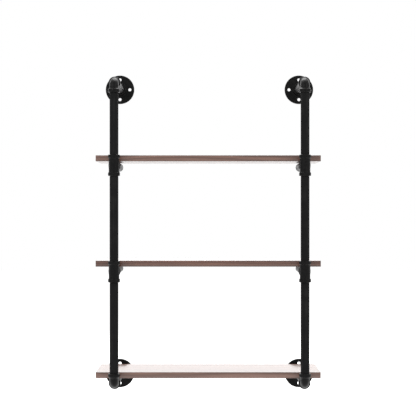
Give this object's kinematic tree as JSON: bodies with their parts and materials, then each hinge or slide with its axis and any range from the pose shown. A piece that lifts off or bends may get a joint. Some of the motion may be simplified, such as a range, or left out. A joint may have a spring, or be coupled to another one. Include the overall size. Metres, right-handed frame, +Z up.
{
  "type": "pipe shelving unit",
  "caption": "Wall-hung shelving unit with wooden boards carried on two ladders of threaded iron pipe, elbows, tees and round wall flanges.",
  "frame": {"origin": "On the wall plane, midway between the two ladders, level with the axis of the bottom arms.", "axes": "+Z up, +X to the right as seen from the front, +Y towards the wall; the front faces -Y."},
  "size_m": [0.695, 0.2763, 1.018],
  "materials": {
    "pipe": "black satin paint on steel pipe",
    "fitting": "black paint on malleable iron, slightly rough",
    "flange": "black paint on cast iron, slightly rough",
    "board": "walnut brown stain under satin lacquer",
    "screw": "black zinc",
    "plug": "matt black"
  },
  "bodies": {
    "root": {"left_bottom_flange": "flange", "left_bottom_arm": "pipe", "left_bottom_elbow": "fitting", "left_top_flange": "flange", "left_top_arm": "pipe", "left_top_elbow": "fitting", "left_middle_tee": "fitting", "left_middle_arm": "pipe", "left_middle_arm_plug": "plug", "left_upper_tee": "fitting", "left_upper_arm": "pipe", "left_upper_arm_plug": "plug", "left_lower_riser": "pipe", "left_middle_riser": "pipe", "left_upper_riser": "pipe", "left_bottom_front_screw": "screw", "left_bottom_rear_screw": "screw", "left_middle_front_screw": "screw", "left_middle_rear_screw": "screw", "left_upper_front_screw": "screw", "left_upper_rear_screw": "screw", "right_bottom_flange": "flange", "right_bottom_arm": "pipe", "right_bottom_elbow": "fitting", "right_top_flange": "flange", "right_top_arm": "pipe", "right_top_elbow": "fitting", "right_middle_tee": "fitting", "right_middle_arm": "pipe", "right_middle_arm_plug": "plug", "right_upper_tee": "fitting", "right_upper_arm": "pipe", "right_upper_arm_plug": "plug", "right_lower_riser": "pipe", "right_middle_riser": "pipe", "right_upper_riser": "pipe", "right_bottom_front_screw": "screw", "right_bottom_rear_screw": "screw", "right_middle_front_screw": "screw", "right_middle_rear_screw": "screw", "right_upper_front_screw": "screw", "right_upper_rear_screw": "screw", "bottom_board": "board", "middle_board": "board", "upper_board": "board"}
  },
  "joints": []
}
